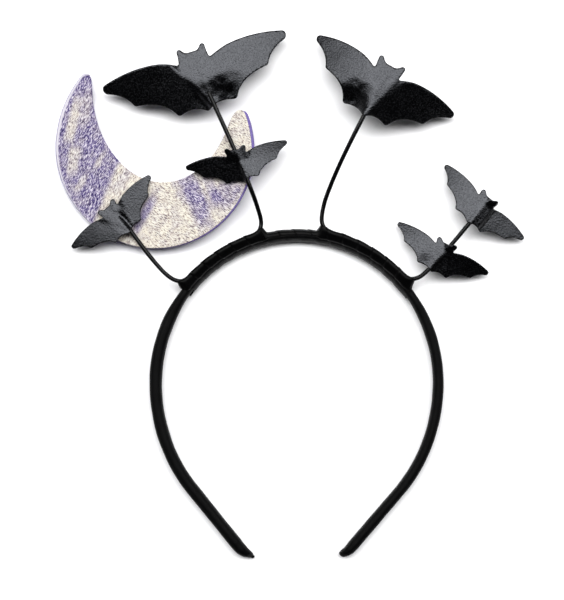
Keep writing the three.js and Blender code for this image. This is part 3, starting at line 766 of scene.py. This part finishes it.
def pulledLine(start, pull, end, count):
    t = np.linspace(0, 1, count)[:, None]
    return start * (1 - t) ** 2 + 2 * pull * t * (1 - t) + end * t ** 2


joinReach, joinStep = 0.8, 0.08  # how much of a line a fillet may take, and its points' spacing


def roundJoin(first, second, radius):  # a fillet where one line ends and the next begins
    most = int(min(len(first), len(second)) * joinReach)
    for k in range(1, most):
        p, q = first[-1 - k], second[k]
        into, away = p - first[-2 - k], second[k + 1] - q
        turn = math.acos(np.clip(into @ away / np.linalg.norm(into) / np.linalg.norm(away), -1, 1))
        wide = np.linalg.norm(q - p) / 2
        if wide >= radius * math.sin(turn / 2):
            break
    reach = 4 / 3 * math.tan(turn / 4) * wide / max(math.sin(turn / 2), 1e-3)
    a = p + into / np.linalg.norm(into) * reach
    b = q - away / np.linalg.norm(away) * reach
    t = np.linspace(0, 1, 16)[:, None]
    arc = p * (1 - t) ** 3 + 3 * a * t * (1 - t) ** 2 + 3 * b * t ** 2 * (1 - t) + q * t ** 3
    return first[:-1 - k], arc, second[k:]


def roundedLoop(lines, radii):  # lines end to end, each with the radius of its end
    lines = [evenLine(line, joinStep) for line in lines]
    arcs = []
    for i, radius in enumerate(radii):
        j = (i + 1) % len(lines)
        if radius:
            lines[i], arc, lines[j] = roundJoin(lines[i], lines[j], radius)
            arcs.append(arc[1:-1])
        else:
            arcs.append(np.zeros((0, 2)))
    return np.concatenate([part for pair in zip(lines, arcs) for part in pair])


def evenLine(points, spacing):
    gone = lengthsAlong(points)
    places = np.linspace(0, gone[-1], max(8, int(gone[-1] / spacing)))
    return pointsAt(places, gone, points)


def evenLoop(points, spacing):
    points = np.concatenate([points, points[:1]])
    gone = lengthsAlong(points)
    count = int(gone[-1] / spacing)
    places = np.arange(count) * gone[-1] / count
    return pointsAt(places, gone, points)


def roundCorners(loop, radius, spacing):
    reach = int(3 * radius / spacing)
    weights = bell(np.arange(-reach, reach + 1) * spacing, radius)
    weights /= weights.sum()
    return sum(np.roll(loop, k - reach, axis=0) * w for k, w in enumerate(weights))


def insideLoop(points, loop):
    x, y = points[:, 0:1], points[:, 1:2]
    ax, ay = loop[:, 0], loop[:, 1]
    bx, by = np.roll(ax, -1), np.roll(ay, -1)
    crosses = ((ay > y) != (by > y)) & (x < (bx - ax) * (y - ay) / (by - ay + 1e-12) + ax)
    return crosses.sum(1) % 2 == 1


fillShares = {"rowGap": 0.866, "clear": 0.45}  # between rows and off the rim, as shares of spacing


def fillLoop(loop, spacing):
    low, high = loop.min(0), loop.max(0)
    rowsUp = np.arange(low[1], high[1], spacing * fillShares["rowGap"])
    inner = []
    for i, y in enumerate(rowsUp):
        x = np.arange(low[0] + (i % 2) * spacing / 2, high[0], spacing)
        inner.append(np.stack([x, np.full(len(x), y)], 1))
    inner = np.concatenate(inner)
    inner = inner[insideLoop(inner, loop)]
    clear = np.ones(len(inner), bool)
    step = 2000  # a few at a time, to spare memory
    for part in range(0, len(inner), step):
        block = inner[part:part + step]
        away = np.linalg.norm(block[:, None] - loop[None], axis=2).min(1)
        clear[part:part + step] = away > spacing * fillShares["clear"]
    points = np.concatenate([loop, inner[clear]])
    edges = [(i, (i + 1) % len(loop)) for i in range(len(loop))]
    made = geometry.delaunay_2d_cdt([Vector(p) for p in points], edges, [], 1, 1e-7)
    flat = np.array([tuple(v) for v in made[0]])
    return flat, [tuple(f) for f in made[2]], edges


def closeSheet(flat, faces, rim, top, bottom):
    count = len(flat)
    upper = np.concatenate([flat, top[:, None]], 1)
    lower = np.concatenate([flat, bottom[:, None]], 1)
    solid = [tuple(f) for f in faces] + [tuple(count + i for i in reversed(f)) for f in faces]
    for a, b in rim:
        solid.append((a, count + a, count + b, b))
    return np.concatenate([upper, lower]), solid


def batOutlineOf(bat):
    scale = np.array([bat["halfSpan"], bat["tipUp"]])
    lines, radii = [], []

    def addEdge(pull, end, radius):
        start = lines[-1][-1] if lines else np.array([0, batTail["along"]]) * scale
        lines.append(pulledLine(start, pull, end, batSizes["points"]))
        radii.append(radius)

    for row in batOutline:
        addEdge(np.array(row[:2]) * scale, np.array(row[2:4]) * scale, row[4] * bat["halfSpan"])
    ear = batEars[bat["size"]]
    for pullAcross, pullUp, across, up in batEars["edges"]:
        pull = np.array([ear["aside"] + ear["half"] * pullAcross, pullUp * bat["tipUp"]])
        end = np.array([ear["aside"] + ear["half"] * across, up * bat["tipUp"]])
        addEdge(pull, end, batEars["round"])
    end = np.array([headTop["across"], headTop["up"]]) * scale
    corner = lines[-1][-1]
    pull = np.array([corner[0] * headTop["pull"], mix(corner[1], end[1], headTop["pull"])])
    addEdge(pull, end, headTop["round"] * bat["halfSpan"])
    flip = np.array([-1, 1])
    top = np.array([end, end * flip])
    mirrored = [line[::-1] * flip for line in lines[::-1]]
    lines = lines + [top] + mirrored
    radii = radii + radii[::-1] + [batTail["round"] * bat["halfSpan"]]
    spacing = batSizes["mesh"][bat["size"]] * batSizes["edgeStep"]
    loop = evenLoop(roundedLoop(lines, radii), spacing)
    loop = roundCorners(loop, batSizes["soften"], spacing)
    share = np.clip(np.abs(loop[:, 0]) / bat["halfSpan"] - neck[0], 0, 1)
    lift = np.where(loop[:, 0] < 0, *bat["tipLift"])
    return loop + np.stack([0 * share, lift * share ** batSizes["liftBow"]], 1)


def seatOf(bat):
    name = bat["upright"]
    isLeft = name in ("leftOuter", "rightInner")
    line = wireLines["wire_left" if name.startswith("left") else "wire_right"]
    points = uprightPoints(name, 1 if isLeft else -1)
    foot, end = points[len(footBend) - 1], points[-1]
    target = mix(foot, end, bat["at"])
    half = len(line) // 2
    first = 0 if isLeft else half
    part = line[:half] if isLeft else line[half:]
    index = first + int(np.argmin(np.linalg.norm(part[:, :2] - target[:2], axis=1)))
    way = -1 if isLeft else 1
    tangent = line[index + way] - line[index - way]
    slope = math.atan2(tangent[2], math.hypot(tangent[0], tangent[1]))
    heading = math.radians(bat["heading"])
    right = np.array([math.sin(heading), -math.cos(heading), 0])
    level = np.array([math.cos(heading), math.sin(heading), 0])
    ahead = level * math.cos(slope) + np.array([0, 0, math.sin(slope)])
    axes = np.array([right, ahead, np.cross(right, ahead)])
    origin = line[index] - right * bat["aside"]
    return axes, origin, (line - origin) @ axes.T


def wingFall(bat, away, drop, curl):
    share = away / bat["halfSpan"]
    drop += batSizes["over"] - bat["bump"] - batSizes["leather"] / 2
    return drop * ((1 - curl) * share + curl * share ** 2)


def batHeight(bat, x, y, wireX, wireZ, over):
    sizes = batSizes
    neckX, neckY = neck[0] * bat["halfSpan"], neck[1] * bat["tipUp"]
    upNeck = np.clip(y / neckY, 0, 1.3)
    hemX = float(wireX[np.argmin(np.abs(y))])
    height = np.full(len(x), sizes["over"] - bat["bump"])
    body = np.ones(len(x))
    wings = zip((-1, 1), *(bat[key] for key in ("drop", "curl", "pitch", "hinge", "turnAt")))
    for side, drop, curl, pitch, hinge, turnAt in wings:
        off = side * sizes["foldOff"]
        neckSide = side * neckX if bat["flatHead"] else wireX + off
        fold = mix(hemX + off, neckSide, upNeck ** sizes["foldBow"])
        away = sizes["crisp"] * np.logaddexp(0, (x - fold) * side / sizes["crisp"])
        height -= wingFall(bat, away, drop, curl)
        wing = smoothStep(away, turnAt, turnAt + bat["turnRun"])
        height += (y - hinge * neckY) * math.tan(math.radians(pitch)) * wing
        body -= wing
    height -= (y - neckY * sizes["nodHinge"]) * math.tan(math.radians(bat["nod"])) * body
    flat = np.stack([x, y, np.zeros(len(x))], 1)
    aside = ripple(flat, sizes["wanderAside"], 11) * sizes["wander"]
    along = ripple(flat, sizes["wanderAlong"], 23) * sizes["wander"]
    before, after = sizes["foldFade"]
    for hemAcross, neckAcross, wide, depth, until in bat["folds"]:
        fade = 1 - smoothStep(y / neckY, until - before, until + after)
        middle = mix(hemAcross, neckAcross, upNeck) + aside * 0.5
        height -= depth * bell(x - middle, wide) * fade
    for across, ahead, wide, tall, drop in bat["curls"]:
        height -= drop * bell(x - across + aside, wide) * smoothStep(ahead - y + along, -tall, tall)
    near, far = sizes["headSide"]
    for side, rise in zip((-1, 1), bat["earRise"]):
        sideShare = smoothStep(x * side / bat["halfSpan"], -sizes["middle"], sizes["middle"])
        sideShare *= 1 - smoothStep(np.abs(x), neckX + near, neckX + far)
        height += rise * np.maximum(y - bat["riseFrom"] * neckY, 0) * sideShare
    height += bat["bump"] * bell(x - wireX, sizes["bumpWidth"]) * over
    return height + wireZ


def makeBat(name, bat, material):
    sizes = batSizes
    axes, origin, wire = seatOf(bat)
    loop = batOutlineOf(bat)
    flat, faces, rim = fillLoop(loop, sizes["mesh"][bat["size"]])
    x, y = flat[:, 0], flat[:, 1]
    near = wire[np.abs(wire[:, 0]) < bat["halfSpan"] * 0.4]
    near = near[(near[:, 1] > -sizes["wireBehind"]) & (near[:, 1] < 2 * bat["tipUp"])]
    near = near[np.argsort(near[:, 1])]
    wireX = np.interp(y, near[:, 1], near[:, 0])
    wireZ = np.interp(y, near[:, 1], near[:, 2])
    ends = 3 * bat["tipUp"] if bat["through"] else near[-1, 1]
    before, after = sizes["wireEnd"]
    over = 1 - smoothStep(y, ends - before, ends + after)
    top = batHeight(bat, x, y, wireX, wireZ, over)
    spots = np.stack([x, y, np.full(len(x), 3.0)], 1)
    top += ripple(spots, sizes["waveSize"], len(name)) * sizes["waves"]
    pocket = bell(x - wireX, sizes["bumpWidth"]) * over
    bottom = top - sizes["leather"]
    bottom = mix(bottom, np.minimum(bottom, wireZ - sizes["under"]), pocket)
    points, solid = closeSheet(flat, faces, rim, top, bottom)
    piece = makePiece(name + "_leather", points @ axes + origin, solid, material)
    return piece, loop


leather = makeLeather(leatherFinish)
for batName, bat in bats.items():
    batPiece, loop = makeBat(batName, bat, leather)
    dress(batPiece, "bat_leatherette", batName)
print("bats made")

# Moon: foil on a foam backing. The backing shows past it by up to the margin, most at marginAt
# degrees above the left. There the foil draws back a little and laps over the hollow's edge,
# and rim is the share of the margin that is painted on the foil as a pale highlight, the light
# its curled edge catches. On the right the foil is off by the shift. A blend is where something
# starts and is whole, in shares of the radius.
moonSizes = {
    "radius": 43.8, "hollowHalfWidth": 33.2, "hollowDepth": 43.6, "hollowAside": 3.7, "hollowUp": 29.2,
    "rightStop": 15, "leftStop": 168, "rightHollowStop": 0.27, "leftHollowStop": 0.548,
    "aside": 63.5, "overHead": 38.0, "ridgeRadius": 1.975, "gap": 0.3,
    "foam": 2.9, "foil": 0.28, "foilLift": 2.95, "stack": 3.3, "mesh": 0.5, "edgeStep": 0.3, "round": 0.5,
    "margin": 1.9, "marginAt": 15, "marginSpread": 42, "shift": (-1.2, 0.3),
    "edge": 0.25, "edgeRun": 2.5, "edgeBlend": (0.2, 0.5),
    "lap": 0.4, "lapRun": 2.0, "lapBlend": (0.2, 0.4),
    "rightBlend": (-0.2, 0.6), "upBlend": (-0.5, 0.3), "lowShare": 0.45, "marginBlend": (0.9, 1.0),
    # rim and its Less and Soft sizes shape the painted highlight on the foil's curled left edge
    "rim": 0.7, "rimHighlightLess": 0.1, "rimHighlightSoft": (0.25, 0.35), "onLeft": 0.2, "faceOut": 0.5,
    "crinkles": [(2.4, 5, 0.10), (0.9, 9, 0.05)],  # rows of size, seed and height
}
# The horns' stretches as shares of the radius: the point that pulls each one, then its end
rightHorn = [(0.955, 0.31, 0.935, 0.356), (0.915, 0.4, 0.87, 0.389)]
rightHornInside = (0.82, 0.37)
leftHorn = [(-0.672, 0.63, -0.665, 0.715), (-0.675, 0.775, -0.72, 0.77), (-0.745, 0.765, -0.79, 0.69)]
leftHornOutside = (-0.935, 0.47)


def moonLoop():
    sizes = moonSizes
    radius = sizes["radius"]
    outer = np.radians(np.linspace(sizes["leftStop"], 360 + sizes["rightStop"], 160))
    points = list(np.stack([np.cos(outer), np.sin(outer)], 1) * radius)

    def pull(pullPoint, end):
        start = points[-1]
        points.extend(pulledLine(start, np.array(pullPoint) * radius, np.array(end), 14)[1:])

    def hollowAngle(height, side):
        rise = (height * radius - sizes["hollowUp"]) / sizes["hollowDepth"]
        return math.atan2(rise, side * math.sqrt(1 - rise ** 2))

    def hollowPoint(angle):
        return np.array([
            sizes["hollowAside"] + sizes["hollowHalfWidth"] * math.cos(angle),
            sizes["hollowUp"] + sizes["hollowDepth"] * math.sin(angle),
        ])

    for px, py, x, y in rightHorn:
        pull((px, py), (x * radius, y * radius))
    start = hollowAngle(sizes["rightHollowStop"], 1)
    stop = hollowAngle(sizes["leftHollowStop"], -1)
    pull(rightHornInside, hollowPoint(start))
    if stop > start:
        stop -= 2 * math.pi
    for angle in np.linspace(start, stop, 120)[1:]:
        points.append(hollowPoint(angle))
    for px, py, x, y in leftHorn:
        pull((px, py), (x * radius, y * radius))
    pull(leftHornOutside, points[0])
    return np.array(points)


# Broad strokes of colour on the foil, in shares of the moon's radius from its middle. The split
# parts the violet left from the cream right. Its streaks are where the fine ones change lean.
# Strokes are rows of x, y, half length, half width, lean in degrees, and violet + or cream -.
foilSplit = {
    "x": -0.45, "y": -0.285, "lean": 67, "soft": 0.035, "left": 0.95, "right": 0.11,
    "streaks": (-0.35, 0.05), "mottle": 0.15, "mottles": 60, "power": 4,
}
foilStrokes = [
    (-0.85, 0.32, 0.24, 0.055, 76, -0.75),
    (-0.85, -0.10, 0.16, 0.06, 82, -0.6),
    (-0.72, 0.42, 0.20, 0.05, 80, -0.35),
    (-0.58, -0.10, 0.10, 0.03, 62, -0.5),
    (-0.78, -0.35, 0.12, 0.04, 62, -0.4),
    (-0.34, -0.30, 0.18, 0.06, 62, 0.25),
    (-0.13, -0.66, 0.22, 0.055, 60, 0.75),
    (0.42, -0.50, 0.31, 0.095, -68, 0.85),
    (0.26, -0.42, 0.20, 0.05, -66, 0.22),
    (0.57, -0.38, 0.19, 0.055, -66, 0.5),
    (0.74, -0.45, 0.20, 0.13, 50, 0.6),
    (0.62, -0.66, 0.14, 0.05, 42, -0.1),
]


def violetAt(x, y):  # how violet the foil is, at shares of the radius
    split = math.radians(foilSplit["lean"])
    aside = (x - foilSplit["x"]) * math.sin(split) - (y - foilSplit["y"]) * math.cos(split)
    beyond = smoothStep(aside, -foilSplit["soft"], foilSplit["soft"])
    violet = mix(foilSplit["left"], foilSplit["right"], beyond)
    for middleX, middleY, along, across, degrees, add in foilStrokes:
        lean = math.radians(degrees)
        dx, dy = x - middleX, y - middleY
        a = dx * math.cos(lean) + dy * math.sin(lean)
        b = -dx * math.sin(lean) + dy * math.cos(lean)
        edge = (a / along) ** foilSplit["power"] + (b / across) ** foilSplit["power"]
        violet += add * np.exp(-edge)
    spots = np.stack([x, y, x * 0], 1) * foilSplit["mottles"]
    return violet + ripple(spots, 6.0, 2) * foilSplit["mottle"]


def seatMoon(sizes):  # its left edge lies on the table and the right one just under the outer bat
    bat = bats["bat_small_left_outer"]
    axes, origin, _ = seatOf(bat)
    hem = origin + axes[0] * bat["aside"]
    radius = sizes["radius"]
    centre = hoopAt(np.array(0.0))[0] + np.array([-sizes["aside"], sizes["overHead"], 0])
    under = hem[2] - sizes["ridgeRadius"] - sizes["gap"]
    tilt = math.atan((under - sizes["stack"]) / (hem[0] - (centre[0] - radius)))
    cos, sin = math.cos(tilt), math.sin(tilt)
    turn = np.array([[cos, 0, sin], [0, 1, 0], [-sin, 0, cos]])
    return turn, centre + np.array([0, 0, radius * math.sin(tilt)])


def addMargin(loop, sizes):  # the backing shows past the foil on the outer left
    out = np.hypot(loop[:, 0], loop[:, 1]) / sizes["radius"]
    around = np.degrees(np.arctan2(loop[:, 1], -loop[:, 0]))
    margin = sizes["margin"] * smoothStep(out, *sizes["marginBlend"])
    margin *= bell(around - sizes["marginAt"], sizes["marginSpread"]) * (loop[:, 0] < 0)
    return loop * (1 + margin / sizes["radius"] / out)[:, None]


def fitFoil(flat, loop, sizes):  # where the foil's points go, and how much of each is painted highlight at its curled edge
    radius = sizes["radius"]
    x, y = flat[:, 0] / radius, flat[:, 1] / radius
    rightness = smoothStep(x, *sizes["rightBlend"])
    rightness *= mix(sizes["lowShare"], 1.0, smoothStep(y, *sizes["upBlend"]))
    shifted = flat + np.array(sizes["shift"]) * rightness[:, None]
    facing = np.roll(loop, -1, axis=0) - np.roll(loop, 1, axis=0)
    facing = np.stack([facing[:, 1], -facing[:, 0]], 1) / np.linalg.norm(facing, axis=1, keepdims=True)
    faceOut = (facing * loop).sum(1) > sizes["faceOut"] * radius
    onLeft = loop[:, 0] < -sizes["onLeft"] * radius

    def distanceTo(edge):
        return np.array([np.linalg.norm(edge - point, axis=1).min() for point in flat])

    # the pale rim near the outer left edge is a painted highlight, the light the curled foil edge catches
    away = distanceTo(loop[faceOut & onLeft])
    around = np.degrees(np.arctan2(y, -x)) - sizes["marginAt"]
    wide = sizes["rim"] * sizes["margin"] * bell(around, sizes["marginSpread"]) - sizes["rimHighlightLess"]
    before, after = sizes["rimHighlightSoft"]
    rimHighlight = 1 - smoothStep(away, wide - before, wide + after)
    edge = 1 - smoothStep(away, 0, sizes["edgeRun"])
    shifted[:, 0] += sizes["edge"] * edge * smoothStep(-x, *sizes["edgeBlend"])
    lap = 1 - smoothStep(distanceTo(loop[~faceOut & onLeft]), 0, sizes["lapRun"])
    shifted[:, 0] += sizes["lap"] * lap * smoothStep(-x, *sizes["lapBlend"])
    return shifted, rimHighlight


def makeMoon(foilMaterial, foamMaterial):
    sizes = moonSizes
    turn, centre = seatMoon(sizes)
    loop = roundCorners(evenLoop(moonLoop(), sizes["edgeStep"]), sizes["round"], sizes["edgeStep"])
    loop = addMargin(loop, sizes)
    flat, faces, rim = fillLoop(loop, sizes["mesh"])
    level = np.zeros(len(flat))
    points, solid = closeSheet(flat, faces, rim, level + sizes["foam"], level)
    foam = makePiece("moon_foam", points @ turn + centre, solid, foamMaterial)
    shifted, rimHighlight = fitFoil(flat, loop, sizes)
    spots = np.concatenate([flat, level[:, None]], 1)
    top = sizes["foilLift"] + sizes["foil"]
    top = top + sum(ripple(spots, size, seed) * height for size, seed, height in sizes["crinkles"])
    points, solid = closeSheet(shifted, faces, rim, top, level + sizes["foilLift"])
    foil = makePiece("moon_foil", points @ turn + centre, solid, foilMaterial)
    x, y = flat[:, 0] / sizes["radius"], flat[:, 1] / sizes["radius"]
    leftness = 1 - smoothStep(x, *foilSplit["streaks"])
    # the rim attribute carries the weight of the painted highlight
    for label, values in (("violet", violetAt(x, y)), ("leftness", leftness), ("rim", rimHighlight)):
        layer = foil.data.attributes.new(label, "FLOAT", "POINT")
        layer.data.foreach_set("value", np.concatenate([values, values]).astype(np.float32))
    return foil, foam, loop


foilPiece, foamPiece, moonEdge = makeMoon(makeFoil(foilFinish), makeFoam(foamFinish))
dress(foilPiece, "moon_foil", "moon_face")
dress(foamPiece, "moon_foam", "moon_backing")
print("moon made")

# Table, light and camera
stageSizes = {
    "floor": 6.0, "eye": (-6.71, 37.15, 650.0), "lens": 86.67, "sensor": 36.0,
    "lampHigh": 2.2, "ceiling": 0.012, "walls": 0.2,
}
tableFinish = {"colour": (0.92, 0.92, 0.93, 1), "roughness": 0.8, "shine": 0.1}
# The lamp hangs level. It spans these angles as the headpiece sees it. Its brightness runs
# from side to side and from near to far by these rows of place and share.
lampShape = {
    "left": -52, "right": 54, "near": 2, "far": 38, "glow": 10.5,
    "sideways": [(0.0, 0.5), (0.35, 1.0), (0.7, 0.9), (1.0, 0.5)],
    "nearToFar": [(0.0, 0.1), (0.18, 0.58), (0.5, 1.0), (1.0, 0.5)],
}


def shadeLamp(light, shape):
    light.use_nodes = True
    place = addNode(light, "ShaderNodeNewGeometry").outputs["Parametric"]
    spot = addNode(light, "ShaderNodeSeparateXYZ", {0: place})
    strength = 1.0
    for axis, rows in (("X", shape["sideways"]), ("Y", shape["nearToFar"])):
        curve = addNode(light, "ShaderNodeFloatCurve", {"Value": spot.outputs[axis]})
        points = curve.mapping.curves[0].points
        while len(points) < len(rows):
            points.new(0.5, 0.5)
        for point, row in zip(points, rows):
            point.location = row
            point.handle_type = "VECTOR"
        curve.mapping.update()
        strength = addNode(light, "ShaderNodeMath", {
            0: curve.outputs["Value"], 1: strength,
        }, operation="MULTIPLY").outputs[0]
    light.node_tree.links.new(strength, light.node_tree.nodes["Emission"].inputs["Strength"])


def makeStage(sizes):
    half = sizes["floor"] / 2
    mesh = bpy.data.meshes.new("table")
    corners = [(-half, -half, 0), (half, -half, 0), (half, half, 0), (-half, half, 0)]
    mesh.from_pydata(corners, [], [(0, 1, 2, 3)])
    table = addObject("table", mesh)
    mesh.materials.append(newMaterial("table", tableFinish))
    sides = (lampShape[key] for key in ("left", "right", "near", "far"))
    left, right, near, far = (math.tan(math.radians(angle)) * sizes["lampHigh"] for angle in sides)
    light = bpy.data.lights.new("lamp", "AREA")
    light.shape = "RECTANGLE"
    light.size, light.size_y = right - left, far - near
    light.energy = lampShape["glow"] * math.pi * light.size * light.size_y
    shadeLamp(light, lampShape)
    lamp = addObject("lamp", light)
    lamp.location = ((left + right) / 2, (near + far) / 2, sizes["lampHigh"])
    eye = bpy.data.cameras.new("eye")
    eye.lens, eye.sensor_width = sizes["lens"], sizes["sensor"]
    eye.clip_start = 0.01
    camera = addObject("eye", eye)
    camera.location = (np.array(sizes["eye"]) + hoopPlace) / perMetre
    bpy.context.scene.camera = camera


def makeRoom(sizes):
    world = bpy.data.worlds.new("room")
    world.use_nodes = True
    place = addNode(world, "ShaderNodeTexCoord").outputs["Generated"]
    up = addNode(world, "ShaderNodeSeparateXYZ", {0: place}).outputs["Z"]
    shades = addRamp(world, up, [(0.1, (sizes["walls"],) * 3), (0.55, (sizes["ceiling"],) * 3)])
    world.node_tree.links.new(shades, world.node_tree.nodes["Background"].inputs["Color"])
    bpy.context.scene.world = world
    bpy.context.scene.view_settings.view_transform = "Standard"


makeStage(stageSizes)
makeRoom(stageSizes)
print("table, lamp and camera placed")
